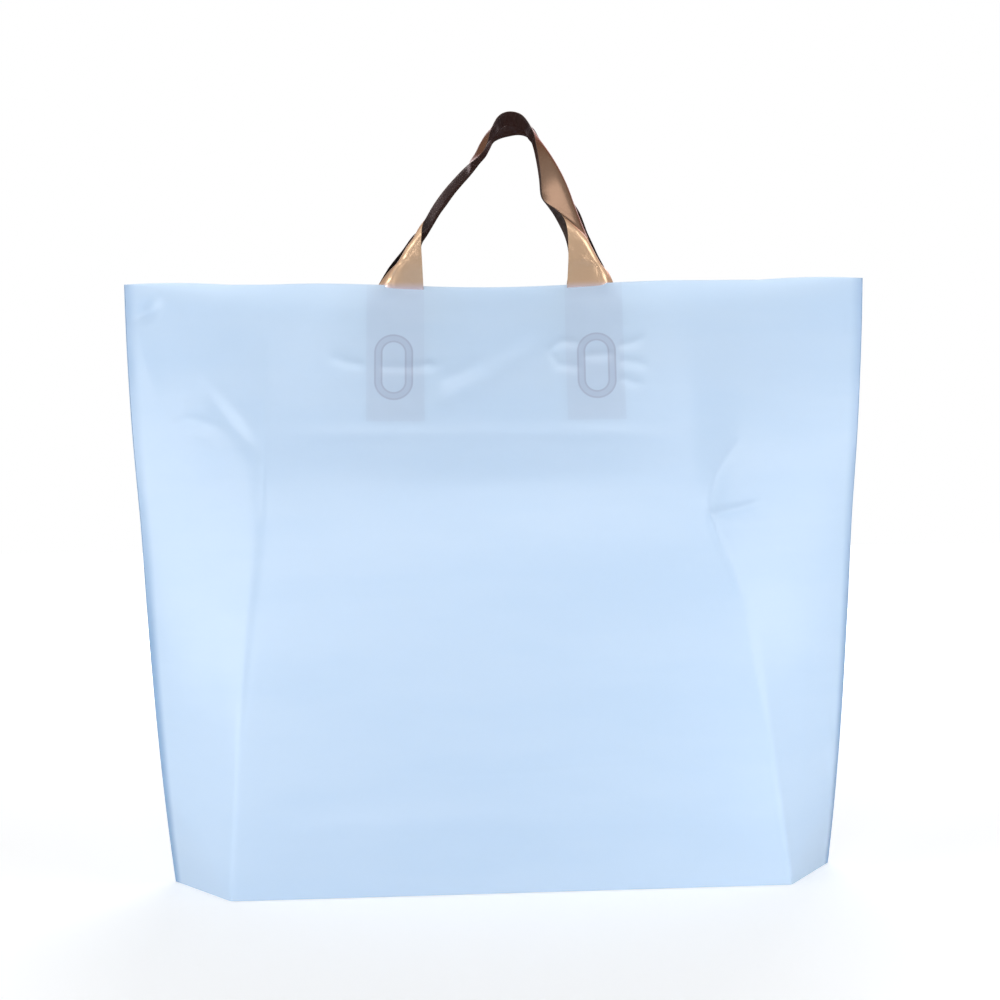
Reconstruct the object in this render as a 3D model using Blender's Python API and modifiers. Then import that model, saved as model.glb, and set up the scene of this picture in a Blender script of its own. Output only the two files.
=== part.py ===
"""A plastic carrier bag standing open on its folded base.

One web of film makes the front panel, the base gusset and the back panel.
Both sides are cut and sealed with a hot knife. Two strips of thicker film make
the soft handles, and each strip's ends are welded flat inside one panel.
X runs across the bag, the front panel faces -Y, Z is up, and the base rests at Z = 0.
"""

import math

import bmesh
import bpy
import numpy as np

# Sizes of the flat bag in millimetres.
bag_width = 500.0
panel_height = 400.0
gusset_depth = 60.0
film_thickness = 0.10
seam_bead_radius = 0.32

# Handle strips, in millimetres.
handle_rise = 103.1
strap_width = 38.0
strap_thickness = 0.25
tab_length = 94.0
tab_centre_x = 68.6
weld_centre_below_rim = 57.0
weld_ring_width = 25.5
weld_ring_height = 44.5
weld_ring_band = 5.0
weld_ring_rise = 0.12
handle_to_film_gap = 0.30
handle_to_handle_gap = 0.60

# How the opened bag stands: how far each panel bows out, in millimetres.
half_width = bag_width / 2
base_side_slope = 0.833
base_half_flat = half_width - gusset_depth / base_side_slope
knee_height = 245.0
knee_depth = 48.0
knee_side_slope = 0.46
rim_side_slope = 0.145
rim_gap_at_centre = 5.5
rim_gap_at_bulge = 16.5
rim_bulge_at = 140.0

# The base stands turned a little against the mouth, and a little to one side.
base_twist = 4.2
base_shift = 4.6
base_widening = 0.012
twist_height = 330.0

# Grid spacing of the film: a few columns reach each tab's edges, and the last rows follow the tabs.
fin_steps = 4
strap_inner_x = tab_centre_x - strap_width / 2
strap_outer_x = tab_centre_x + strap_width / 2
tab_foot = panel_height - tab_length
columns_to_fin = ([0, strap_inner_x / 2] + list(np.linspace(strap_inner_x, strap_outer_x, 3))
                  + list(np.linspace(strap_outer_x, base_half_flat, 7)[1:-1]))
rows_to_tab = (0.075, 0.16, 0.26, 0.37, 0.48, 0.58, 0.66, 0.73, 0.79, 0.855, 0.925)
tab_shares = (0, 0.17, 0.34, 0.51, 0.68, 0.85)
tab_rows = [tab_foot + tab_length * share for share in tab_shares]


def smooth_min(a, b, radius):
    blend = np.clip(0.5 + 0.5 * (b - a) / radius, 0.0, 1.0)
    return b * (1 - blend) + a * blend - radius * blend * (1 - blend)


def smooth_step(a, b, value):
    x = np.clip((value - a) / (b - a), 0.0, 1.0)
    return x * x * (3 - 2 * x)


def panel_depth(across, up):
    """How far a panel stands out from the middle plane, at a point of the flat panel."""
    from_seam = half_width - np.abs(across)
    slope = np.interp(up, (0, knee_height, panel_height), (base_side_slope, knee_side_slope, rim_side_slope))
    side = slope * from_seam
    lower = gusset_depth - (gusset_depth - knee_depth) * up / knee_height
    below_rim = panel_height - up
    bulge = (rim_gap_at_bulge - rim_gap_at_centre) * smooth_step(0, rim_bulge_at, np.abs(across))
    rise = (knee_depth - rim_gap_at_centre) / (panel_height - knee_height)
    near_rim = np.clip(1 - below_rim / (panel_height - knee_height), 0, 1) ** 1.5
    upper = rim_gap_at_centre + rise * below_rim + bulge * near_rim
    front = smooth_min(lower, upper, 9.0)
    return smooth_min(front, side, 1.0 + 8.0 * smooth_step(0, knee_height, up))


# The film bends without stretching, so each step along the panel keeps its flat length.
fine_across = np.linspace(0, half_width, 501)
fine_up = np.linspace(0, panel_height, 401)
fine_depth = panel_depth(fine_across[None, :], fine_up[:, None])
slope_across = np.gradient(fine_depth, fine_across, axis=1)
slope_up = np.gradient(fine_depth, fine_up, axis=0)


def running_sum(values, step, axis):
    middle = (np.take(values, range(1, values.shape[axis]), axis)
              + np.take(values, range(values.shape[axis] - 1), axis)) / 2 * step
    start = np.zeros_like(np.take(values, [0], axis))
    return np.concatenate([start, np.cumsum(middle, axis)], axis)


fine_x = running_sum(np.sqrt(1 - np.clip(slope_across, -0.95, 0.95) ** 2), fine_across[1], 1)
drift_up = np.gradient(fine_x, fine_up, axis=0)
fine_z = running_sum(np.sqrt(1 - np.clip(slope_up, -0.9, 0.9) ** 2 - np.clip(drift_up, -0.4, 0.4) ** 2), fine_up[1], 0)


def sample(table, across, up):
    column = np.clip(np.abs(across) / fine_across[1], 0, 499.9999)
    row = np.clip(up / fine_up[1], 0, 399.9999)
    c, r = np.floor(column).astype(int), np.floor(row).astype(int)
    fc, fr = column - c, row - r
    low = table[r, c] * (1 - fc) + table[r, c + 1] * fc
    high = table[r + 1, c] * (1 - fc) + table[r + 1, c + 1] * fc
    return low * (1 - fr) + high * fr


def film_point(across, up, inward=0.0):
    """A point of the front panel standing in space, moved this far into the bag."""
    across, up = np.broadcast_arrays(np.asarray(across, float), np.asarray(up, float))
    x = np.sign(across) * sample(fine_x, across, up)
    z = sample(fine_z, across, up) + film_thickness / 2
    y = -sample(fine_depth, across, up)
    if inward:
        lean_x = sample(slope_across, across, up) * np.sign(across)
        lean_z = sample(slope_up, across, up)
        flat = np.sqrt(np.clip(1 - lean_x ** 2, 0.1, 1)), np.sqrt(np.clip(1 - lean_z ** 2, 0.1, 1))
        normal = np.stack([lean_x / flat[0], np.ones_like(x), lean_z / flat[1]], -1)
        normal /= np.linalg.norm(normal, axis=-1, keepdims=True)
        x, y, z = (v + inward * normal[..., i] for i, v in enumerate((x, y, z)))
    return np.stack([x, y, z], -1)


def standing(points):
    """Where points of the bag come to lie, with its base turned and shifted under its mouth."""
    share = np.clip(1 - points[..., 2] / twist_height, 0, 1)
    share = 0.65 * share + 0.35 * share * share * (3 - 2 * share)
    turn = math.radians(base_twist) * share
    x = points[..., 0] * (1 + base_widening * share)
    y = points[..., 1]
    return np.stack([x * np.cos(turn) - y * np.sin(turn) + base_shift * share,
                     x * np.sin(turn) + y * np.cos(turn), points[..., 2]], -1)


# Scene, collections and materials.
for old in list(bpy.data.objects):
    bpy.data.objects.remove(old)
for old in list(bpy.data.collections):
    bpy.data.collections.remove(old)
bag = bpy.data.collections.new("plastic_carrier_bag")
guides = bpy.data.collections.new("guides")
for collection in (bag, guides):
    bpy.context.scene.collection.children.link(collection)
guides.hide_render = True


def material(name, colour, roughness, see_through=0.0):
    made = bpy.data.materials.new(name)
    made.use_nodes = True
    shader = made.node_tree.nodes["Principled BSDF"]
    shader.inputs["Base Color"].default_value = (*colour, 1.0)
    shader.inputs["Roughness"].default_value = roughness
    shader.inputs["Alpha"].default_value = 1.0 - see_through
    return made


blue_film = material("pale_blue_film", (0.52, 0.72, 0.93), 0.28)
brown_film = material("brown_film", (0.36, 0.24, 0.15), 0.32)


def put(name, mesh, surface, collection):
    made = bpy.data.objects.new(name, mesh)
    collection.objects.link(made)
    mesh.materials.append(surface)
    for face in mesh.polygons:
        face.use_smooth = True
    return made


def grid(points):
    """A grid tool's sheet with its corners moved to these rows of points, in millimetres."""
    rows, columns = points.shape[:2]
    sheet = bmesh.new()
    bmesh.ops.create_grid(sheet, x_segments=columns - 1, y_segments=rows - 1, size=1.0)
    ordered = sorted(sheet.verts, key=lambda v: (round(v.co.y, 5), round(v.co.x, 5)))
    for vertex, point in zip(ordered, standing(points).reshape(-1, 3)):
        vertex.co = [c * 0.001 for c in point]
    return sheet


def joined(sheets, name, merge=0.00001, triangles=True):
    """Sheets sewn into one mesh along the edges they share. Both skins of a thin film then follow
    the same triangles, so they can't pass through each other."""
    whole = bmesh.new()
    for sheet in sheets:
        piece = bpy.data.meshes.new("piece")
        sheet.to_mesh(piece)
        sheet.free()
        whole.from_mesh(piece)
        bpy.data.meshes.remove(piece)
    bmesh.ops.remove_doubles(whole, verts=whole.verts, dist=merge)
    bmesh.ops.recalc_face_normals(whole, faces=whole.faces)
    if triangles:
        bmesh.ops.triangulate(whole, faces=whole.faces)
    mesh = bpy.data.meshes.new(name)
    whole.to_mesh(mesh)
    whole.free()
    return mesh


# The film: front panel, back panel, flat base and two end flaps.
fin_columns = [base_half_flat + (half_width - base_half_flat) * i / fin_steps for i in range(fin_steps + 1)]
half_columns = columns_to_fin + fin_columns
columns = np.array([-c for c in reversed(half_columns[1:])] + half_columns, float)
fin_rows = [gusset_depth * i / fin_steps for i in range(fin_steps + 1)]
lower_rows = [gusset_depth + (tab_foot - gusset_depth) * share for share in rows_to_tab]
rows = np.array(fin_rows + lower_rows + tab_rows + [panel_height], float)
mirror_y = np.array([1.0, -1.0, 1.0])

front_points = film_point(columns[None, :], rows[:, None])
front_points[:, [0, -1], 1] = 0.0
front_sheet = grid(front_points)
back_sheet = grid(front_points * mirror_y)

first_flat = fin_steps
last_flat = len(columns) - 1 - fin_steps
base_front = front_points[0, first_flat:last_flat + 1]
base_steps = np.linspace(0, 1, 3)[:, None, None]
base_sheet = grid(base_front * (1 - base_steps) + base_front * mirror_y * base_steps)

flaps = []
for side in (-1, 1):
    at = [(last_flat + i if side > 0 else first_flat - i) for i in range(fin_steps + 1)]
    fold = np.stack([front_points[i, at[i]] for i in range(fin_steps + 1)])[:, None, :]
    steps = np.linspace(0, 1, 3)[None, :, None]
    flaps.append(grid(fold * (1 - steps) + fold * mirror_y * steps))

film_mesh = joined([front_sheet, back_sheet, base_sheet] + flaps, "bag_body", triangles=False)

# Each end flap meets the panels along a diagonal of the corner, so those squares are split on it.
split = bmesh.new()
split.from_mesh(film_mesh)
for side in (-1, 1):
    for depth_side in (1.0, -1.0):
        for i in range(fin_steps):
            ends = []
            for step in (i, i + 1):
                at = last_flat + step if side > 0 else first_flat - step
                wanted = standing(front_points[step, at] * (1, depth_side, 1)) * 0.001
                ends.append(min(split.verts, key=lambda v: (np.array(v.co) - wanted) @ (np.array(v.co) - wanted)))
            if not split.edges.get(ends):
                bmesh.ops.connect_verts(split, verts=ends)
bmesh.ops.triangulate(split, faces=split.faces)
split.to_mesh(film_mesh)
split.free()

body = put("bag_body", film_mesh, blue_film, bag)
skin = body.modifiers.new("film_thickness", "SOLIDIFY")
skin.solidify_mode = "NON_MANIFOLD"
skin.nonmanifold_thickness_mode = "CONSTRAINTS"
skin.thickness = film_thickness * 0.001
skin.offset = 0.0
print("film sheet", len(film_mesh.vertices), "vertices", len(film_mesh.polygons), "faces")

# The hot knife leaves a fine bead of melted film down each side seam. The bead's rings stand between
# the film's rows, so that no ring lies on a fold line.
seam_beads = []
for side in (-1, 1):
    path = bpy.data.curves.new("seam_path", "CURVE")
    path.dimensions = "3D"
    line = path.splines.new("POLY")
    seam_rows = np.concatenate([[0.4], (rows[:-1] + rows[1:]) / 2, [panel_height - 0.4]])
    points = standing(film_point(side * half_width, seam_rows) * (1, 0, 1)) * 0.001
    line.points.add(len(points) - 1)
    for spot, point in zip(line.points, points):
        spot.co = (*point, 1.0)
    path.bevel_depth = seam_bead_radius * 0.001
    path.bevel_resolution = 1
    path.use_fill_caps = True
    path_object = bpy.data.objects.new("seam_path", path)
    guides.objects.link(path_object)
    bpy.context.view_layer.update()
    graph = bpy.context.evaluated_depsgraph_get()
    bead_mesh = bpy.data.meshes.new_from_object(path_object.evaluated_get(graph))
    bpy.data.objects.remove(path_object)
    clean = bmesh.new()
    clean.from_mesh(bead_mesh)
    bmesh.ops.remove_doubles(clean, verts=clean.verts, dist=0.000001)
    bmesh.ops.recalc_face_normals(clean, faces=clean.faces)
    clean.to_mesh(bead_mesh)
    clean.free()
    bead = put("seam_bead_left" if side < 0 else "seam_bead_right", bead_mesh, blue_film, guides)
    bead.display_type = "WIRE"
    bead.hide_render = True
    weld = body.modifiers.new("seam_bead", "BOOLEAN")
    weld.operation = "UNION"
    weld.solver = "EXACT"
    weld.object = bead
    seam_beads.append(bead)

# The handles. Every station gives the strip's front edge as a share of the tab's inner edge and of
# the rise above the rim, the way its outer face looks round the arch in degrees, how much of its
# width still faces forward, and the tilt of both parts in degrees.
strap_to_film = film_thickness / 2 + handle_to_film_gap + weld_ring_rise + strap_thickness / 2
stations = (
    (-1.0181, 0.0485, 180, 22.0, 0, 75),
    (-1.0323, 0.1164, 180, 17.0, 3, 82),
    (-1.0323, 0.1843, 178, 12.0, 6, 86),
    (-1.0060, 0.2745, 166, 5.0, 20, 89),
    (-0.9375, 0.3550, 151, 2.0, 60, 92),
    (-0.8569, 0.4180, 143, 10.0, 74, 98),
    (-0.7077, 0.5131, 138, 14.0, 74, 100),
    (-0.5202, 0.6111, 138, 16.0, 76, 100),
    (-0.3589, 0.6906, 143, 17.0, 76, 100),
    (-0.2762, 0.7556, 149, 17.0, 76, 100),
    (-0.1956, 0.8303, 148, 17.0, 76, 100),
    (-0.1028, 0.8943, 142, 17.0, 78, 99),
    (-0.0181, 0.9525, 130, 17.0, 80, 98),
    (0.0766, 0.9893, 108, 17.0, 80, 98),
    (0.1694, 1.0000, 88, 17.0, 80, 98),
    (0.2520, 0.9855, 64, 17.0, 76, 98),
    (0.3327, 0.9408, 42, 16.0, 70, 98),
    (0.4032, 0.8807, 28, 15.0, 68, 98),
    (0.4536, 0.8225, 20, 15.0, 66, 97),
    (0.4859, 0.7604, 15, 15.0, 62, 94),
    (0.5262, 0.6605, 11, 16.0, 52, 88),
    (0.5565, 0.5694, 9, 18.0, 44, 84),
    (0.5927, 0.4908, 8, 19.0, 38, 84),
    (0.6694, 0.4326, 8, 17.0, 32, 86),
    (0.7823, 0.3802, 8, 14.0, 22, 88),
    (0.8669, 0.3046, 6, 13.0, 10, 88),
    (0.9133, 0.2066, 3, 16.0, 6, 86),
    (0.9496, 0.1164, 0, 19.0, 3, 82),
    (0.9718, 0.0485, 0, 22.0, 0, 76),
)
across_steps = 8
front_limit = -(handle_to_handle_gap + strap_thickness) / 2


def section(reach, height, outward, facing, near, far):
    """Points across the strip, from its front edge to its back edge."""
    x, z = reach * strap_inner_x, panel_height + height * handle_rise
    turn = math.radians(outward)
    way = np.array([math.cos(turn), 0.0, math.sin(turn)])
    fine = np.linspace(0, strap_width, across_steps * 8 + 1)
    tilt = np.radians(near + (far - near) * smooth_step(facing - 10.0, facing + 10.0, fine))
    step = fine[1]
    out = np.concatenate([[0], np.cumsum((np.cos(tilt[1:]) + np.cos(tilt[:-1])) / 2 * step)])
    back = np.concatenate([[0], np.cumsum((np.sin(tilt[1:]) + np.sin(tilt[:-1])) / 2 * step)])
    points = np.array([x, 0.0, z]) + out[:, None] * way + back[:, None] * np.array([0.0, 1.0, 0.0])
    points[:, 1] += front_limit - points[:, 1].max()
    return points[::8]


def on_film(across, up, inward):
    """A point this far inside the front panel, measured from the grid that the panel is built on."""
    across, up = np.broadcast_arrays(np.asarray(across, float), np.asarray(up, float))
    c = np.clip(np.searchsorted(columns, across, "right") - 1, 0, len(columns) - 2)
    r = np.clip(np.searchsorted(rows, up, "right") - 1, 0, len(rows) - 2)
    fc = ((across - columns[c]) / (columns[c + 1] - columns[c]))[..., None]
    fr = ((up - rows[r]) / (rows[r + 1] - rows[r]))[..., None]
    low = front_points[r, c] * (1 - fc) + front_points[r, c + 1] * fc
    high = front_points[r + 1, c] * (1 - fc) + front_points[r + 1, c + 1] * fc
    along = (front_points[r, c + 1] - front_points[r, c]) * (1 - fr) + (front_points[r + 1, c + 1] - front_points[r + 1, c]) * fr
    normal = np.cross(high - low, along)
    normal /= np.linalg.norm(normal, axis=-1, keepdims=True)
    return low * (1 - fr) + high * fr + inward * normal


def tab_row(side, up):
    widths = strap_inner_x + np.linspace(0, strap_width, across_steps + 1)
    return on_film(side * widths, float(up), strap_to_film)


def curling_row(side, up, facing, far):
    """A row near the rim, where the strip's outer part already turns back into the bag."""
    flat = tab_row(side, up)
    width = np.linspace(0, strap_width, across_steps + 1)
    past = np.clip(width - facing, 0, None)
    turn = math.radians(far)
    curled = flat.copy()
    start = np.stack([np.interp(np.minimum(width, facing), width, flat[:, i]) for i in range(3)], -1)
    curled[:, 0] = start[:, 0] + side * past * math.cos(turn)
    curled[:, 1] = np.minimum(start[:, 1] + past * math.sin(turn), front_limit)
    curled[:, 2] = start[:, 2]
    return curled


free_rows = [section(*station) for station in stations]
curls = ((panel_height - 9, 33.0, 30), (panel_height - 3, 29.0, 52), (panel_height + 2.5, 26.0, 64))
left_tab = [tab_row(-1, up) for up in tab_rows] + [curling_row(-1, *curl) for curl in curls]
right_tab = [tab_row(1, up) for up in tab_rows] + [curling_row(1, *curl) for curl in curls]
strap_points = np.concatenate([left_tab, free_rows, right_tab[::-1]])


def ring_points(side):
    """The oval weld ring as a flat band of points lying on the tab."""
    around = np.linspace(0, 2 * math.pi, 25)
    bands = []
    for inset in (0.0, weld_ring_band):
        across = tab_centre_x + (weld_ring_width / 2 - inset) * np.cos(around)
        up = panel_height - weld_centre_below_rim + (weld_ring_height / 2 - inset) * np.sin(around)
        bands.append(on_film(side * across, up, strap_to_film))
    return np.stack(bands)


for name, mirror in (("front_handle", np.ones(3)), ("back_handle", mirror_y)):
    handle = put(name, joined([grid(strap_points * mirror)], name), brown_film, bag)
    strip = handle.modifiers.new("strip_thickness", "SOLIDIFY")
    strip.thickness = strap_thickness * 0.001
    strip.offset = 0.0
    for side, label in ((-1, "left"), (1, "right")):
        ring = put(name + "_weld_" + label, joined([grid(ring_points(side) * mirror)], "weld"), brown_film, guides)
        ring.display_type = "WIRE"
        ring.hide_render = True
        band = ring.modifiers.new("band_thickness", "SOLIDIFY")
        band.thickness = (strap_thickness + 2 * weld_ring_rise) * 0.001
        band.offset = 0.0
        weld = handle.modifiers.new("weld_" + label, "BOOLEAN")
        weld.operation = "UNION"
        weld.solver = "EXACT"
        weld.object = ring

for made in bag.objects:
    size = made.dimensions
    print(made.name, [round(v * 1000, 1) for v in size])
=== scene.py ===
# %% [markdown]
# # A plastic carrier bag
# The real bag is one web of thin polyethylene film. The web is folded in the middle, its fold is
# tucked up into a gusset, and a hot knife cuts and seals both sides. Two strips of thicker brown
# film are welded inside the panels as handles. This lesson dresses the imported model: it keeps its
# sizes and builds the film, the seals, the handles and their finishes in finer detail.

# %% Load the fixed frame
import math

import bmesh
import bpy
import numpy as np
from mathutils import Matrix, Vector


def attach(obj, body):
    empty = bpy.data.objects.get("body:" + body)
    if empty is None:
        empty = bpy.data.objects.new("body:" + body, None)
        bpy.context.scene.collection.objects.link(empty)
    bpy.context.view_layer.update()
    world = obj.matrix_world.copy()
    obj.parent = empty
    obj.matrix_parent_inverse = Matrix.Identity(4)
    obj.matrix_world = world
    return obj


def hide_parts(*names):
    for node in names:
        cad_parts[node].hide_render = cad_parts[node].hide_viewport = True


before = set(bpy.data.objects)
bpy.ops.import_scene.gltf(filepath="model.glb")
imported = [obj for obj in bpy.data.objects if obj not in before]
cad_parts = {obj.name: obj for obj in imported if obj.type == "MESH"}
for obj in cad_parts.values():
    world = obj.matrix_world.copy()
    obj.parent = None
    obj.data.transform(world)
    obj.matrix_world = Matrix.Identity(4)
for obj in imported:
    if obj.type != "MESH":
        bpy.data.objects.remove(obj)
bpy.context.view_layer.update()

# %% [markdown]
# ## The camera
# The photograph looks at the front panel almost square on, from about 1.15 m, with a longish lens.
# A camera can be aimed with an empty and a constraint, but here the three small turns (sideways,
# up and roll) are known, so the camera's axes are worked out from them and written as a matrix.

# %% Camera
camera_place = Vector((-0.0084, -1.150, 0.260))
camera_turn, camera_tilt, camera_roll = (math.radians(a) for a in (-0.54, -0.43, -0.59))
photo_focal_px, photo_width_px = 1705.5, 1000

forward = Vector((-math.sin(camera_turn) * math.cos(camera_tilt),
                  math.cos(camera_turn) * math.cos(camera_tilt), math.sin(camera_tilt)))
level_right = Vector((math.cos(camera_turn), math.sin(camera_turn), 0.0))
level_up = level_right.cross(forward)
right = math.cos(camera_roll) * level_right + math.sin(camera_roll) * level_up
up = -math.sin(camera_roll) * level_right + math.cos(camera_roll) * level_up

camera_data = bpy.data.cameras.new("photo_camera")
camera_data.sensor_width = 36.0
camera_data.lens = photo_focal_px / photo_width_px * camera_data.sensor_width
camera = bpy.data.objects.new("photo_camera", camera_data)
camera.matrix_world = Matrix.Translation(camera_place) @ Matrix((right, up, -forward)).transposed().to_4x4()
bpy.context.scene.collection.objects.link(camera)
bpy.context.scene.camera = camera
print("lens", round(camera_data.lens, 1), "mm")

# %% [markdown]
# ## How the bag stands
# Film bends but doesn't stretch. A point of the flat panel is given by how far it lies across the
# bag and how far up. The depth tells how far the panel bows out there: a lower face that leans
# slightly in, an upper face that closes towards the mouth, and side faces that run to the seams.
# Where two faces meet, a smooth minimum rounds the crease. All lengths here are in millimetres.

# %% The standing shape of a panel
half_width, panel_height, gusset_depth = 250.0, 400.0, 60.0
film_thickness = 0.10
knee_height, knee_depth = 245.0, 48.0
knee_side_slope = {-1: 0.478, 1: 0.430}
base_side_slope, rim_side_slope = 0.833, 0.145
rim_gap_at_centre, rim_gap_at_bulge, rim_bulge_at = 5.5, 16.5, 140.0
base_half_flat = half_width - gusset_depth / base_side_slope
rim_easing = 1.5
knee_rounding, fold_rounding, fold_rounding_gain = 7.0, 1.0, 5.0


def smooth_min(a, b, radius):
    blend = np.clip(0.5 + 0.5 * (b - a) / radius, 0.0, 1.0)
    return b * (1 - blend) + a * blend - radius * blend * (1 - blend)


def smooth_step(a, b, value):
    x = np.clip((value - a) / (b - a), 0.0, 1.0)
    return x * x * (3 - 2 * x)


def panel_depth(across, up):
    """How far the panel stands out from the middle plane."""
    from_seam = half_width - np.abs(across)
    heights = (0, knee_height, panel_height)
    left, right = (np.interp(up, heights, (base_side_slope, knee_side_slope[side], rim_side_slope))
                   for side in (-1, 1))
    side_face = np.where(across < 0, left, right) * from_seam
    lower_face = gusset_depth - (gusset_depth - knee_depth) * up / knee_height
    below_rim = panel_height - up
    bulge = (rim_gap_at_bulge - rim_gap_at_centre) * smooth_step(0, rim_bulge_at, np.abs(across))
    rise = (knee_depth - rim_gap_at_centre) / (panel_height - knee_height)
    near_rim = np.clip(1 - below_rim / (panel_height - knee_height), 0, 1) ** rim_easing
    upper_face = rim_gap_at_centre + rise * below_rim + bulge * near_rim
    side_rounding = fold_rounding + fold_rounding_gain * smooth_step(0, knee_height, up)
    return smooth_min(smooth_min(lower_face, upper_face, knee_rounding), side_face, side_rounding)


# %% [markdown]
# ## Laying the flat film into space
# Each small step on the film keeps its length, so a step across loses a little width where the
# film turns away. The running sums below add those steps up once, and any point is read from them.

# %% From flat film to space
across_samples, up_samples, past_last = 1001, 401, 0.0001
steepest_across, steepest_up, steepest_drift = 0.95, 0.9, 0.4
fine_across = np.linspace(-half_width, half_width, across_samples)
fine_up = np.linspace(0, panel_height, up_samples)
fine_depth = panel_depth(fine_across[None, :], fine_up[:, None])
slope_across = np.gradient(fine_depth, fine_across, axis=1)
slope_up = np.gradient(fine_depth, fine_up, axis=0)
across_step, up_step = fine_across[1] - fine_across[0], fine_up[1] - fine_up[0]


def running_sum(values, step, axis):
    later = np.take(values, range(1, values.shape[axis]), axis)
    earlier = np.take(values, range(values.shape[axis] - 1), axis)
    start = np.zeros_like(np.take(values, [0], axis))
    return np.concatenate([start, np.cumsum((later + earlier) / 2 * step, axis)], axis)


def limited_square(slope, steepest):
    return np.clip(slope, -steepest, steepest) ** 2


fine_x = running_sum(np.sqrt(1 - limited_square(slope_across, steepest_across)), across_step, 1)
middle = across_samples // 2
fine_x -= fine_x[:, middle:middle + 1]
drift_up = np.gradient(fine_x, fine_up, axis=0)
lost_height = limited_square(slope_up, steepest_up)
fine_z = running_sum(np.sqrt(1 - lost_height - limited_square(drift_up, steepest_drift)), up_step, 0)


def sample(table, across, up):
    """The table's value at any point of the panel, from the four places around it."""
    column = np.clip((across + half_width) / across_step, 0, across_samples - 1 - past_last)
    row = np.clip(up / up_step, 0, up_samples - 1 - past_last)
    c, r = np.floor(column).astype(int), np.floor(row).astype(int)
    fc, fr = column - c, row - r
    low = table[r, c] * (1 - fc) + table[r, c + 1] * fc
    high = table[r + 1, c] * (1 - fc) + table[r + 1, c + 1] * fc
    return low * (1 - fr) + high * fr


rim_width, base_width = (round(float(np.ptp(fine_x[row])), 1) for row in (-1, 0))
print("rim width", rim_width, "base width", base_width, "mm")

# %% [markdown]
# ## Creases and soft dents
# Handling leaves marks in film: a sharp line where it was pinched, a soft valley where it is pulled.
# Each mark is a line on the flat panel with a height, a width and a sharpness, and fades at its ends.
# Sculpting by hand would do too, but lines with numbers stay exact and easy to move.

# %% A mark on the film
def mark(across, up, line, height, width, power, fade):
    """Height in millimetres that this line adds at each point of the panel."""
    line = np.asarray(line, float)
    lengths = np.linalg.norm(np.diff(line, axis=0), axis=1)
    whole = max(lengths.sum(), 1e-6)
    nearest = np.full(np.shape(across), 1e9)
    along = np.zeros(np.shape(across))
    walked = 0.0
    for start, end, length in zip(line[:-1], line[1:], lengths):
        d = (end - start) / length
        t = np.clip((across - start[0]) * d[0] + (up - start[1]) * d[1], 0, length)
        far = np.hypot(across - start[0] - t * d[0], up - start[1] - t * d[1])
        closer = far < nearest
        nearest = np.where(closer, far, nearest)
        along = np.where(closer, (walked + t) / whole, along)
        walked += length
    ends = np.ones(np.shape(across))
    if fade[0]:
        ends = ends * smooth_step(0, fade[0], along)
    if fade[1]:
        ends = ends * smooth_step(0, fade[1], 1 - along)
    return height * ends * np.exp(-(nearest / width) ** power)


def dent(across, up, centre, size, height, turn):
    """A soft oval hollow or swelling."""
    c, s = math.cos(math.radians(turn)), math.sin(math.radians(turn))
    a, b = across - centre[0], up - centre[1]
    return height * np.exp(-((a * c + b * s) / size[0]) ** 2 - ((-a * s + b * c) / size[1]) ** 2)


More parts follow.
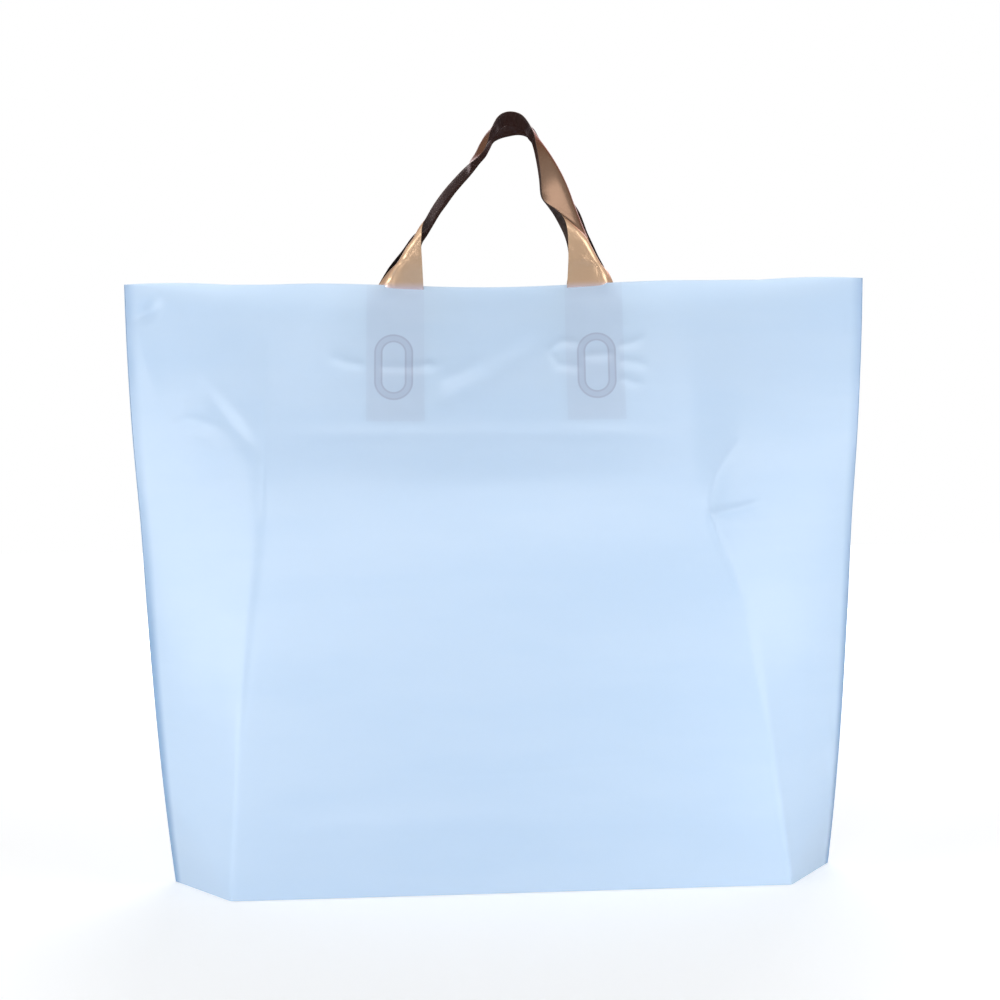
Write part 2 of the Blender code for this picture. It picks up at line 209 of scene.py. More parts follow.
# %% The marks that the front panel shows
front_marks = (
    # line on the panel, height, width, sharpness, fading at both ends
    (((-151, 236), (-151, 300), (-151, 362), (-150, 392)), 0.95, 2.8, 1.3, (0.05, 0.5)),
    (((-196, 330), (-176, 306), (-153, 280)), -0.9, 5.5, 1.8, (0.4, 0.3)),
    (((-205, 345), (-180, 322), (-156, 298)), 0.35, 5.0, 2.0, (0.4, 0.3)),
    (((-232, 300), (-206, 309), (-184, 303), (-168, 295)), 0.5, 2.4, 1.4, (0.3, 0.3)),
    (((-230, 296), (-206, 298), (-182, 293)), -0.3, 3.0, 1.6, (0.3, 0.3)),
    (((-222, 286), (-208, 276), (-200, 262)), 0.3, 2.8, 1.6, (0.3, 0.3)),
    (((-247, 386), (-238, 352), (-228, 318)), 0.7, 5.0, 1.6, (0.15, 0.4)),
    (((-249, 372), (-238, 381), (-228, 392)), -0.8, 3.0, 1.3, (0.1, 0.2)),
    (((136, 241), (135, 252), (141, 268), (153, 284), (165, 296)), 1.3, 2.5, 1.3, (0.02, 0.35)),
    (((136, 241), (140, 226), (149, 205), (155, 182)), 1.7, 2.6, 1.3, (0.02, 0.3)),
    (((155, 182), (160, 135), (169, 92), (170, 70), (173, 38), (178, 3)), 0.6, 2.6, 1.3, (0.2, 0.05)),
    (((138, 242), (155, 245), (181, 252)), 1.4, 2.7, 1.3, (0.05, 0.4)),
    (((140, 236), (160, 236), (190, 240)), -0.6, 3.4, 1.6, (0.2, 0.4)),
    (((166, 290), (190, 284), (206, 262)), 0.30, 2.0, 1.4, (0.3, 0.4)),
    (((226, 122), (240, 72), (244, 49), (247, 8)), 0.7, 3.0, 1.3, (0.3, 0.1)),
    (((241, 383), (243, 371), (240, 360)), 0.8, 2.0, 1.3, (0.3, 0.3)),
    (((-150, 296), (-60, 297), (60, 297), (126, 294)), -0.35, 5.0, 2.0, (0.2, 0.2)),
    (((-46, 74), (20, 77), (98, 80)), -0.2, 2.0, 1.6, (0.3, 0.3)),
    (((-168, 28), (-150, 41), (-46, 47), (60, 47), (145, 44), (176, 8)), 0.5, 7.5, 2.0, (0.15, 0.15)),
    (((-47, 343), (-41, 348)), 1.1, 2.2, 1.3, (0.2, 0.2)),
    (((-86, 344), (-98, 346), (-112, 352)), 0.9, 2.8, 1.5, (0.1, 0.5)),
    (((-78, 343), (-56, 343), (-40, 344), (-26, 350)), 0.8, 2.6, 1.5, (0.1, 0.4)),
    (((-44, 316), (-24, 326), (0, 340), (20, 353), (36, 364)), -0.7, 6.5, 2.0, (0.15, 0.3)),
    (((-40, 332), (-22, 340), (-6, 352)), 0.8, 5.0, 2.0, (0.3, 0.4)),
    (((57, 358), (44, 361), (36, 354), (42, 344), (57, 342)), 1.1, 2.4, 1.4, (0.1, 0.1)),
    (((58, 350), (68, 350), (80, 351)), 0.9, 2.4, 1.4, (0.2, 0.2)),
    (((82, 356), (92, 358), (102, 363)), 1.0, 2.5, 1.4, (0.1, 0.5)),
    (((82, 346), (93, 344), (104, 340)), 1.0, 2.5, 1.4, (0.1, 0.5)),
    (((82, 334), (92, 330), (100, 327)), 0.8, 2.5, 1.4, (0.1, 0.5)),
)
front_dents = (
    # middle, size along and across, height, turn in degrees
    ((-233, 382), (9, 5), -2.6, 50),
    ((136, 241), (2.6, 2.6), 1.5, 0),
    ((-66, 392), (24, 6), 0.5, 0),
    ((70, 392), (24, 6), 0.5, 0),
    ((0, 262), (110, 16), 0.6, 0),
    ((-190, 200), (12, 90), 0.8, 8),
    ((205, 110), (12, 60), 0.7, -6),
)
back_marks = (
    (((151, 238), (150, 300), (149, 372)), 0.5, 2.4, 1.3, (0.1, 0.5)),
    (((-138, 246), (-150, 276), (-166, 300)), 0.9, 2.4, 1.2, (0.05, 0.4)),
    (((-138, 246), (-148, 214), (-156, 176)), 1.0, 2.2, 1.2, (0.05, 0.4)),
    (((230, 300), (206, 310), (178, 296)), 0.6, 4.0, 1.5, (0.3, 0.3)),
    (((-150, 300), (0, 302), (140, 299)), -0.4, 6.0, 2.0, (0.2, 0.2)),
    (((-170, 30), (-60, 46), (70, 45), (172, 26)), 0.8, 8.0, 2.0, (0.1, 0.1)),
    (((50, 346), (34, 350), (14, 362), (-14, 360), (-40, 348)), -0.8, 7.0, 2.0, (0.2, 0.2)),
    (((86, 344), (104, 350)), 0.5, 2.6, 1.5, (0.1, 0.4)),
    (((-86, 344), (-106, 338)), 0.5, 2.6, 1.5, (0.1, 0.4)),
)
back_dents = (
    ((0, 262), (110, 16), 0.6, 0),
    ((190, 180), (14, 90), 0.8, -8),
)


seam_curl, curl_top, curl_start, curl_reach = 2.6, (250, 345), 5.0, 60
slackness = 0.16


def relief(across, up, marks, dents):
    """Everything the marks, the curling edges and the film's slackness add to a panel's depth."""
    total = np.zeros(np.shape(across))
    for line, height, width, power, fade in marks:
        total = total + mark(across, up, line, height, width, power, fade)
    for centre, size, height, turn in dents:
        total = total + dent(across, up, centre, size, height, turn)
    from_seam = half_width - np.abs(across)
    curl = seam_curl * (1 - smooth_step(*curl_top, up)) * (1 - np.exp(-from_seam / curl_start))
    curl = curl * np.exp(-(from_seam / curl_reach) ** 2)
    ripple = slackness * np.sin(across / 37 + np.sin(up / 61) * 1.7) * np.sin(up / 29 + across / 83)
    held = smooth_step(0, 9, up) * smooth_step(0, 4, from_seam)
    slack = smooth_step(0, 14, from_seam) * smooth_step(0, 14, up)
    return total * held + curl * smooth_step(0, 30, up) + ripple * slack


print(len(front_marks), "front marks,", len(back_marks), "back marks")

# %% [markdown]
# ## How this bag happens to stand
# The base of the photographed bag is turned a few degrees against its mouth and stands a little to
# one side. That is a plain twist which fades out towards the rim, so the handles aren't moved by it.

# %% The twist between base and mouth
base_twist, base_widening, base_shift, twist_height = math.radians(4.2), 0.012, 4.6, 330.0
straight_share = 0.65


def standing(points):
    share = np.clip(1 - points[..., 2] / twist_height, 0, 1)
    share = straight_share * share + (1 - straight_share) * share * share * (3 - 2 * share)
    turn = base_twist * share
    x = points[..., 0] * (1 + base_widening * share)
    y = points[..., 1]
    return np.stack([x * np.cos(turn) - y * np.sin(turn) + base_shift * share,
                     x * np.sin(turn) + y * np.cos(turn), points[..., 2]], -1)


def panel_point(across, up, face, inward=0.0):
    """A point of the front (face -1) or back (face 1) panel in millimetres, as the bag stands."""
    across, up = np.broadcast_arrays(np.asarray(across, float), np.asarray(up, float))
    flat_across = across if face < 0 else -across
    marks, dents = (front_marks, front_dents) if face < 0 else (back_marks, back_dents)
    depth = sample(fine_depth, flat_across, up) + relief(across, up, marks, dents)
    x = sample(fine_x, flat_across, up) * (1 if face < 0 else -1)
    z = sample(fine_z, flat_across, up) + film_thickness / 2
    return standing(np.stack([x, face * (depth - inward), z], -1))


# %% [markdown]
# ## Materials first need masks
# Polyethylene film is never perfectly even: the extruder leaves faint bands, the surface has tiny
# ripples, and a haze scatters the light. Both films share that, so it is one node group with a scale
# and a strength. It puts out the haze and a normal, and each material decides what to do with them.

# %% A node group for extruded film
def socket(group, name, direction, kind, value=None):
    made = group.interface.new_socket(name=name, in_out=direction, socket_type=kind)
    if value is not None:
        made.default_value = value


def node(tree, kind, **settings):
    made = tree.nodes.new(kind)
    for key, value in settings.items():
        setattr(made, key, value)
    return made


def feed(tree, source, target):
    tree.links.new(source, target)


film_group = bpy.data.node_groups.new("extruded_film", "ShaderNodeTree")
socket(film_group, "Ripple Size", "INPUT", "NodeSocketFloat", 60.0)
socket(film_group, "Ripple Depth", "INPUT", "NodeSocketFloat", 0.2)
socket(film_group, "Haze", "OUTPUT", "NodeSocketFloat")
socket(film_group, "Normal", "OUTPUT", "NodeSocketVector")
inside = node(film_group, "NodeGroupInput")
outside = node(film_group, "NodeGroupOutput")
place = node(film_group, "ShaderNodeTexCoord")
stretch = node(film_group, "ShaderNodeMapping")
stretch.inputs["Scale"].default_value = (1.0, 1.0, 4.0)
feed(film_group, place.outputs["Object"], stretch.inputs["Vector"])
ripples = node(film_group, "ShaderNodeTexNoise")
ripples.inputs["Detail"].default_value = 3.0
ripples.inputs["Roughness"].default_value = 0.45
feed(film_group, inside.outputs["Ripple Size"], ripples.inputs["Scale"])
feed(film_group, stretch.outputs["Vector"], ripples.inputs["Vector"])
haze = node(film_group, "ShaderNodeTexNoise")
haze.inputs["Scale"].default_value = 9.0
haze.inputs["Detail"].default_value = 2.0
feed(film_group, stretch.outputs["Vector"], haze.inputs["Vector"])
lift = node(film_group, "ShaderNodeBump")
lift.inputs["Distance"].default_value = 0.0006
feed(film_group, inside.outputs["Ripple Depth"], lift.inputs["Strength"])
feed(film_group, ripples.outputs["Fac"], lift.inputs["Height"])
feed(film_group, haze.outputs["Fac"], outside.inputs["Haze"])
feed(film_group, lift.outputs["Normal"], outside.inputs["Normal"])
print("group", film_group.name, "with", len(film_group.nodes), "nodes")


# %% [markdown]
# ## The pale blue film
# Thin film is lit from both sides at once. A Principled shader alone looks like painted metal, and a
# glass shader looks too clear. So the Principled shader gives the surface and its gloss, a Translucent
# shader gives the light from behind, and a little Transparent lets the tabs show through. The masks
# come from the flat coordinates that the mesh keeps in its UV map: the weld's oval, a painted shade
# where the tab lies behind the film, and a painted shade along each seal that makes the blue deeper.

# %% Helpers for masks
def arithmetic(tree, operation, first, second=None, third=None, clamp=False):
    made = node(tree, "ShaderNodeMath", operation=operation, use_clamp=clamp)
    for slot, value in zip(made.inputs, (first, second, third)):
        if value is None:
            continue
        if isinstance(value, (int, float)):
            slot.default_value = value
        else:
            feed(tree, value, slot)
    return made.outputs[0]


def between_levels(tree, value, low, high):
    """0 at low and 1 at high, with a soft change between them."""
    made = node(tree, "ShaderNodeMapRange", interpolation_type="SMOOTHSTEP")
    feed(tree, value, made.inputs["Value"])
    made.inputs["From Min"].default_value = low
    made.inputs["From Max"].default_value = high
    return made.outputs["Result"]


def distance(tree, value, centre):
    return arithmetic(tree, "ABSOLUTE", arithmetic(tree, "SUBTRACT", value, centre))


def mixed(tree, mask, first, second):
    """The first colour where the mask is 0 and the second where it is 1."""
    made = node(tree, "ShaderNodeMix", data_type="RGBA")
    feed(tree, mask, made.inputs["Factor"])
    for slot, value in ((made.inputs[6], first), (made.inputs[7], second)):
        if isinstance(value, tuple):
            slot.default_value = (*value, 1.0)
        else:
            feed(tree, value, slot)
    return made.outputs[2]


# %% Masks of the flat panel
tab_centre, weld_height, weld_offset = 66.1, 343.0, 1.0
weld_straight, weld_round = 9.8, 10.1
band_share, outline_share, outline_at = 0.5, 0.4, 2.2
band_edge, outline_edge = (3.0, 2.3), (0.9, 0.3)
# these place the painted shade along the seals and over the tabs
seal_edge, seal_fade, least_seal = (241.0, 249.5), (260.0, 140.0), 0.4
tab_edge, tab_end = (19.5, 18.8), (305.4, 306.2)
panel_masks = bpy.data.node_groups.new("panel_masks", "ShaderNodeTree")
for name in ("Weld", "Seal", "Tab"):
    socket(panel_masks, name, "OUTPUT", "NodeSocketFloat")
flat = node(panel_masks, "ShaderNodeUVMap", uv_map="flat")
parts = node(panel_masks, "ShaderNodeSeparateXYZ")
feed(panel_masks, flat.outputs["UV"], parts.inputs[0])
across_mm = arithmetic(panel_masks, "MULTIPLY_ADD", parts.outputs[0], 2 * half_width, -half_width)
up_mm = arithmetic(panel_masks, "MULTIPLY", parts.outputs[1], 2 * half_width)
sideways = arithmetic(panel_masks, "ABSOLUTE", across_mm)

# the weld: a rounded slot, drawn as a band with an outline at each side
to_tab = distance(panel_masks, sideways, tab_centre + weld_offset)
to_weld = distance(panel_masks, up_mm, weld_height)
past_straight = arithmetic(panel_masks, "SUBTRACT", to_weld, weld_straight)
beyond_straight = arithmetic(panel_masks, "MAXIMUM", past_straight, 0.0)
squares = [arithmetic(panel_masks, "MULTIPLY", way, way) for way in (to_tab, beyond_straight)]
round_distance = arithmetic(panel_masks, "SQRT", arithmetic(panel_masks, "ADD", *squares))
off_ring = distance(panel_masks, round_distance, weld_round)
band = between_levels(panel_masks, off_ring, *band_edge)
outline = between_levels(panel_masks, distance(panel_masks, off_ring, outline_at), *outline_edge)
weld_parts = [arithmetic(panel_masks, "MULTIPLY", part, share)
              for part, share in ((band, band_share), (outline, outline_share))]
weld_mask = arithmetic(panel_masks, "ADD", *weld_parts, clamp=True)

# the closed strip along the seal gets a painted shade, deeper near the base
seal_mask = between_levels(panel_masks, sideways, *seal_edge)
near_base = between_levels(panel_masks, up_mm, *seal_fade)
seal_shade_strength = arithmetic(panel_masks, "MULTIPLY_ADD", near_base, 1 - least_seal, least_seal)
painted_seal_shade = arithmetic(panel_masks, "MULTIPLY", seal_mask, seal_shade_strength)

# the tab behind the film gets a painted shade
beside_tab = between_levels(panel_masks, distance(panel_masks, sideways, tab_centre), *tab_edge)
above_end = between_levels(panel_masks, up_mm, *tab_end)
tab_shade_mask = arithmetic(panel_masks, "MULTIPLY", beside_tab, above_end)

masks_out = node(panel_masks, "NodeGroupOutput")
for name, value in (("Weld", weld_mask), ("Seal", painted_seal_shade), ("Tab", tab_shade_mask)):
    feed(panel_masks, value, masks_out.inputs[name])
print("panel masks use", len(panel_masks.nodes), "nodes")


# %% The film material
def group_node(tree, group, **values):
    made = node(tree, "ShaderNodeGroup")
    made.node_tree = group
    for name, value in values.items():
        made.inputs[name.replace("_", " ")].default_value = value
    return made


film_blue, hazy_blue = (0.612, 0.765, 0.935), (0.635, 0.782, 0.945)
# the first tint is a painted shade along the seals; the second is the weld's own grey and the tabs' painted
# shade
seal_shade_blue, weld_grey_and_tab_shade = (0.26, 0.43, 0.66), (0.36, 0.41, 0.56)
blue_film = bpy.data.materials.new("pale_blue_film")
blue_film.use_nodes = True
tree = blue_film.node_tree
tree.nodes.clear()
film = group_node(tree, film_group, Ripple_Size=55.0, Ripple_Depth=0.10)
masks = group_node(tree, panel_masks)
tinted = mixed(tree, between_levels(tree, film.outputs["Haze"], 0.3, 0.7), film_blue, hazy_blue)
# painted shade along the seals and over the tabs; the weld's oval keeps its own grey
for mask, strength, tint in (("Seal", 0.8, seal_shade_blue), ("Tab", 0.07, weld_grey_and_tab_shade), ("Weld", 0.62, weld_grey_and_tab_shade)):
    tinted = mixed(tree, arithmetic(tree, "MULTIPLY", masks.outputs[mask], strength), tinted, tint)
surface = node(tree, "ShaderNodeBsdfPrincipled")
feed(tree, tinted, surface.inputs["Base Color"])
feed(tree, film.outputs["Normal"], surface.inputs["Normal"])
surface.inputs["Roughness"].default_value = 0.22
surface.inputs["Specular IOR Level"].default_value = 0.35
glow = node(tree, "ShaderNodeBsdfTranslucent")
feed(tree, tinted, glow.inputs["Color"])
feed(tree, film.outputs["Normal"], glow.inputs["Normal"])
lit = node(tree, "ShaderNodeMixShader")
lit.inputs[0].default_value = 0.22
feed(tree, surface.outputs[0], lit.inputs[1])
feed(tree, glow.outputs[0], lit.inputs[2])
clear = node(tree, "ShaderNodeBsdfTransparent")
seen_through = node(tree, "ShaderNodeMixShader")
seen_through.inputs[0].default_value = 0.03
feed(tree, lit.outputs[0], seen_through.inputs[1])
feed(tree, clear.outputs[0], seen_through.inputs[2])
finish = node(tree, "ShaderNodeOutputMaterial")
feed(tree, seen_through.outputs[0], finish.inputs["Surface"])
print("film material has", len(tree.nodes), "nodes")

# %% [markdown]
# ## Sheets from the grid tool
# A panel is a grid whose corners move to their standing places. The grid keeps neat rows, so the
# flat coordinates go straight into its UV map. Front, back and base are sewn where they share an
# edge, as the real web is all one piece. The two end flaps, which are the gusset's folded ends, only
# lie against the panels: sewing three sheets along one fold would draw a dark line there.

# %% A grid with its flat coordinates
metre_per_mm = 0.001


def sheet_of(name, points, flat_uv, folds=()):
    """points: rows of columns in millimetres. flat_uv: the same rows, as places on the flat film.
    folds: pairs of (row, column) between which a face is split."""
    rows, columns = points.shape[:2]
    mesh = bpy.data.meshes.new(name)
    made = bmesh.new()
    bmesh.ops.create_grid(made, x_segments=columns - 1, y_segments=rows - 1, size=1.0)
    made.to_mesh(mesh)
    made.free()
    grid_places = np.empty(len(mesh.vertices) * 3)
    mesh.vertices.foreach_get("co", grid_places)
    grid_places = grid_places.reshape(-1, 3)
    column = np.rint((grid_places[:, 0] + 1) / 2 * (columns - 1)).astype(int)
    row = np.rint((grid_places[:, 1] + 1) / 2 * (rows - 1)).astype(int)
    mesh.vertices.foreach_set("co", (points[row, column] * metre_per_mm).ravel())
    corner = np.empty(len(mesh.loops), int)
    mesh.loops.foreach_get("vertex_index", corner)
    layer = mesh.uv_layers.new(name="flat")
    layer.data.foreach_set("uv", flat_uv[row, column][corner].ravel())
    number = np.empty((rows, columns), int)
    number[row, column] = np.arange(len(row))
    made = bmesh.new()
    made.from_mesh(mesh)
    made.verts.ensure_lookup_table()
    for start, end in folds:
        first, last = made.verts[number[start]], made.verts[number[end]]
        shared = [face for face in first.link_faces if last in face.verts]
        bmesh.utils.face_split(shared[0], first, last)
    made.to_mesh(mesh)
    made.free()
    mesh.update()
    return mesh


def flat_place(across, up):
    across, up = np.broadcast_arrays(across, up)
    return np.stack([(across + half_width) / (2 * half_width), up / (2 * half_width)], -1)


def sewn(name, meshes, loose=(), merge=0.000002):
    """Sew meshes where they share an edge. Loose ones only lie against them."""
    whole = bmesh.new()
    for mesh in meshes:
        whole.from_mesh(mesh)
        bpy.data.meshes.remove(mesh)
    bmesh.ops.remove_doubles(whole, verts=whole.verts, dist=merge)
    for mesh in loose:
        whole.from_mesh(mesh)
        bpy.data.meshes.remove(mesh)
    bmesh.ops.recalc_face_normals(whole, faces=whole.faces)
    mesh = bpy.data.meshes.new(name)
    whole.to_mesh(mesh)
    whole.free()
    mesh.polygons.foreach_set("use_smooth", np.ones(len(mesh.polygons), bool))
    mesh.update()
    return mesh


def piece(name, mesh, material):
    made = bpy.data.objects.new(name, mesh)
    bpy.context.scene.collection.objects.link(made)
    mesh.materials.append(material)
    return made


# %% The film: panels, base and end flaps
fold_steps, main_steps, row_steps, base_steps = 24, 86, 165, 25
flap_place, base_place, film_sharp_angle = 200.0, 4.0, 40
main_columns = np.linspace(0, base_half_flat, main_steps)
fin_columns = np.linspace(base_half_flat, half_width, fold_steps + 1)
half_columns = np.concatenate([main_columns[:-1], fin_columns])
columns = np.concatenate([-half_columns[:0:-1], half_columns])
rows = np.concatenate([np.linspace(0, gusset_depth, fold_steps + 1)[:-1],
                       np.linspace(gusset_depth, panel_height, row_steps)])
front_points = panel_point(columns[None, :], rows[:, None], -1)
back_points = panel_point(columns[None, :], rows[:, None], 1)
seam_points = (front_points[:, [0, -1]] + back_points[:, [0, -1]]) / 2
front_points[:, [0, -1]] = seam_points
back_points[:, [0, -1]] = seam_points
first_flat, last_flat = fold_steps, len(columns) - 1 - fold_steps
panel_uv = flat_place(columns[None, :], rows[:, None])
share = np.linspace(0, 1, base_steps)
base_points = (front_points[0, first_flat:last_flat + 1] * (1 - share[:, None, None])
               + back_points[0, first_flat:last_flat + 1] * share[:, None, None])
base_uv = flat_place(columns[None, first_flat:last_flat + 1], base_place + 0 * share[:, None])
corner_folds = [((i, c + side * i), (i + 1, c + side * (i + 1)))
                for side, c in ((-1, first_flat), (1, last_flat)) for i in range(fold_steps)]
sheets = [sheet_of("front", front_points, panel_uv, corner_folds),
          sheet_of("back", back_points, panel_uv, corner_folds),
          sheet_of("base", base_points, base_uv)]
flaps = []
lie_inside = np.array([0.0, film_thickness, 0.0])
for side in (-1, 1):
    up_fold = np.arange(fold_steps + 1)
    out_fold = last_flat + up_fold if side > 0 else first_flat - up_fold
    front_fold = front_points[up_fold, out_fold][:, None]
    back_fold = back_points[up_fold, out_fold][:, None]
    towards_back = share[None, :, None]
    flap = (front_fold + lie_inside) * (1 - towards_back) + (back_fold - lie_inside) * towards_back
    flap_uv = flat_place(flap_place * side + 0 * flap[..., 0], base_place + 0 * flap[..., 0])
    flaps.append(sheet_of("flap", flap, flap_uv))
film_mesh = sewn("bag_film", sheets, flaps)
film_mesh.set_sharp_from_angle(angle=math.radians(film_sharp_angle))
bag_film = piece("bag_film", film_mesh, blue_film)
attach(bag_film, "root")
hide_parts("bag_body")
print("film", len(film_mesh.polygons), "faces")

# %% [markdown]
# ## The side seals
# The hot knife melts both panels together as it cuts, and the melt draws into a fine bead. A bevelled
# curve along the edge gives it: one radius, and it follows the seam wherever the film goes.

# %% Seal beads
bead_radius = 0.32
for side, label in ((0, "left"), (1, "right")):
    path = bpy.data.curves.new("side_seal_" + label, "CURVE")
    path.dimensions = "3D"
    line = path.splines.new("POLY")
    line.points.add(len(rows) - 1)
    for spot, place_mm in zip(line.points, seam_points[:, side]):
        spot.co = (*(place_mm * metre_per_mm), 1.0)
    path.bevel_depth = bead_radius * metre_per_mm
    path.bevel_resolution = 1
    path.use_fill_caps = True
    seal = bpy.data.objects.new("side_seal_" + label, path)
    bpy.context.scene.collection.objects.link(seal)
    path.materials.append(blue_film)
    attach(seal, "root")
print("seal beads", 2 * bead_radius, "mm thick with", len(rows), "points each")

# %% [markdown]
# ## The brown film of the handles
# The strips are thicker film, tinted bronze. Their outer face looks golden where it faces the light,
# and their inner face nearly black. With one material for both faces, light alone would have to do
# that, so the light is painted in: each face has its own, same group, different tint and gloss, a lit
# golden tint outside and a painted shade inside. The tint follows the strip's own length in the UV map:
# palest on the tabs, browner over the top as painted shade. A share of metal with a dark
# edge tint keeps the strip's outline dark against the white background.

# %% The handle materials
tab_to_leg, leg_to_top = (0.092, 0.104), (0.19, 0.26)
haze_share, haze_shade = 0.35, (0.8, 0.78, 0.76)


def strip_material(name, end_tint, leg_tint, top_tint, roughness, ripple, pearl, edge_tint):
    """The tints run along the strip from its ends and paint its light and shade. pearl is the share of
    metallic reflection.
    """
    made = bpy.data.materials.new(name)
    made.use_nodes = True
    tree = made.node_tree
    tree.nodes.clear()
    film = group_node(tree, film_group, Ripple_Size=90.0, Ripple_Depth=ripple)
    flat = node(tree, "ShaderNodeUVMap", uv_map="flat")
    parts = node(tree, "ShaderNodeSeparateXYZ")
    feed(tree, flat.outputs["UV"], parts.inputs[0])
    from_end = arithmetic(tree, "SUBTRACT", 0.5, distance(tree, parts.outputs[1], 0.5))
    legs = mixed(tree, between_levels(tree, from_end, *tab_to_leg), end_tint, leg_tint)
    whole = mixed(tree, between_levels(tree, from_end, *leg_to_top), legs, top_tint)
    shade = mixed(tree, between_levels(tree, film.outputs["Haze"], 0.3, 0.7), haze_shade, (1.0, 1.0, 1.0))
    hazed = node(tree, "ShaderNodeMix", data_type="RGBA", blend_type="MULTIPLY")
    hazed.inputs["Factor"].default_value = haze_share
    feed(tree, whole, hazed.inputs[6])
    feed(tree, shade, hazed.inputs[7])
    surface = node(tree, "ShaderNodeBsdfPrincipled")
    feed(tree, hazed.outputs[2], surface.inputs["Base Color"])
    feed(tree, film.outputs["Normal"], surface.inputs["Normal"])
    surface.inputs["Roughness"].default_value = roughness
    surface.inputs["Metallic"].default_value = pearl
    surface.inputs["Specular IOR Level"].default_value = 0.0
    surface.inputs["Specular Tint"].default_value = (*edge_tint, 1.0)
    finish = node(tree, "ShaderNodeOutputMaterial")
    feed(tree, surface.outputs[0], finish.inputs["Surface"])
    return made


# lit copy: the golden legs are painted light, the browner top is painted shade
lit_brown_outside = strip_material(
    "brown_film", end_tint=(0.78, 0.72, 0.86), leg_tint=(0.76, 0.515, 0.335), top_tint=(0.23, 0.145, 0.10),
    roughness=0.26, ripple=0.06, pearl=0.6, edge_tint=(0.30, 0.22, 0.24))
# shaded copy: the inner face's near black is painted shade
shaded_brown_inside = strip_material(
    "shaded_brown_film", end_tint=(0.16, 0.11, 0.09), leg_tint=(0.055, 0.040, 0.035),
    top_tint=(0.115, 0.085, 0.074), roughness=0.38, ripple=0.01, pearl=0.7, edge_tint=(0.26, 0.20, 0.21))
print("handle materials", lit_brown_outside.name, shaded_brown_inside.name)

# %% [markdown]
# ## The handle strips
# Each strip starts as a flat tab inside its panel, leaves the mouth, folds softly along a diagonal and
# goes over the top edge-on. A strip is described by stations: where its front edge is, which way its
# outer face looks round the arch, how much of it still faces forward and the tilt of both parts.
# A smooth curve through the stations gives the rows of the strip. A cloth simulation would find such
# folds by itself, but stations put them where the photograph has them.

# %% Stations of the front handle
strap_width, strap_thickness = 38.0, 0.25
handle_gap, weld_rise, handle_to_handle = 0.30, 0.12, 0.60
strap_inner = tab_centre - strap_width / 2
front_stations = (
    # front edge's x and z, outer face's direction, width that faces forward, near tilt, far tilt
    (-47.4, 405.0, 180, 17.5, 3, 74),
    (-47.5, 410.6, 180, 13.5, 5, 81),
    (-47.7, 417.8, 178, 9.0, 8, 86),
    (-47.4, 424.0, 170, 4.5, 20, 88),
    (-46.5, 430.9, 155, 4.0, 60, 90),
    (-43.2, 437.4, 148, 1.0, 84, 91),
    (-38.6, 445.0, 147, 0.0, 86, 91),
    (-31.4, 454.6, 142, 12.0, 86, 92),
    (-22.3, 464.5, 137, 16.0, 86, 92),
    (-16.8, 469.7, 138, 13.0, 84, 92),
    (-11.6, 473.8, 146, 20.0, 76, 94),
    (-6.6, 478.8, 152, 16.5, 68, 96),
    (-3.8, 484.6, 152, 16.0, 68, 96),
    (-1.8, 491.6, 149, 14.5, 76, 95),
    (1.5, 498.6, 140, 2.0, 86, 92),
    (4.5, 502.2, 122, 4.5, 88, 92),
    (8.1, 504.0, 104, 7.0, 88, 92),
    (11.8, 504.4, 90, 2.0, 88, 92),
    (15.4, 503.8, 76, 3.0, 88, 92),
    (18.8, 502.2, 58, 0.5, 87, 92),
    (21.6, 499.3, 44, 15.5, 84, 94),
    (24.4, 494.9, 38, 10.0, 80, 95),
    (26.7, 489.7, 35, 12.0, 74, 95),
    (27.9, 483.4, 33, 16.5, 66, 94),
    (29.4, 475.4, 31, 18.5, 56, 92),
    (30.6, 467.1, 28, 20.0, 47, 90),
    (31.3, 459.7, 22, 21.5, 40, 88),
    (31.6, 453.5, 12, 23.0, 35, 86),
    (32.8, 448.9, -6, 24.0, 30, 82),
    (36.5, 446.0, -24, 25.0, 26, 76),
    (41.2, 443.0, -36, 25.0, 22, 70),
    (45.2, 438.0, -36, 18.5, 22, 74),
    (47.7, 431.8, -28, 15.0, 18, 80),
    (48.7, 424.8, -18, 15.0, 10, 84),
    (49.0, 417.3, -10, 17.0, 5, 84),
    (49.1, 410.5, -5, 19.5, 3, 80),
    (49.0, 404.4, -2, 23.0, 2, 74),
)

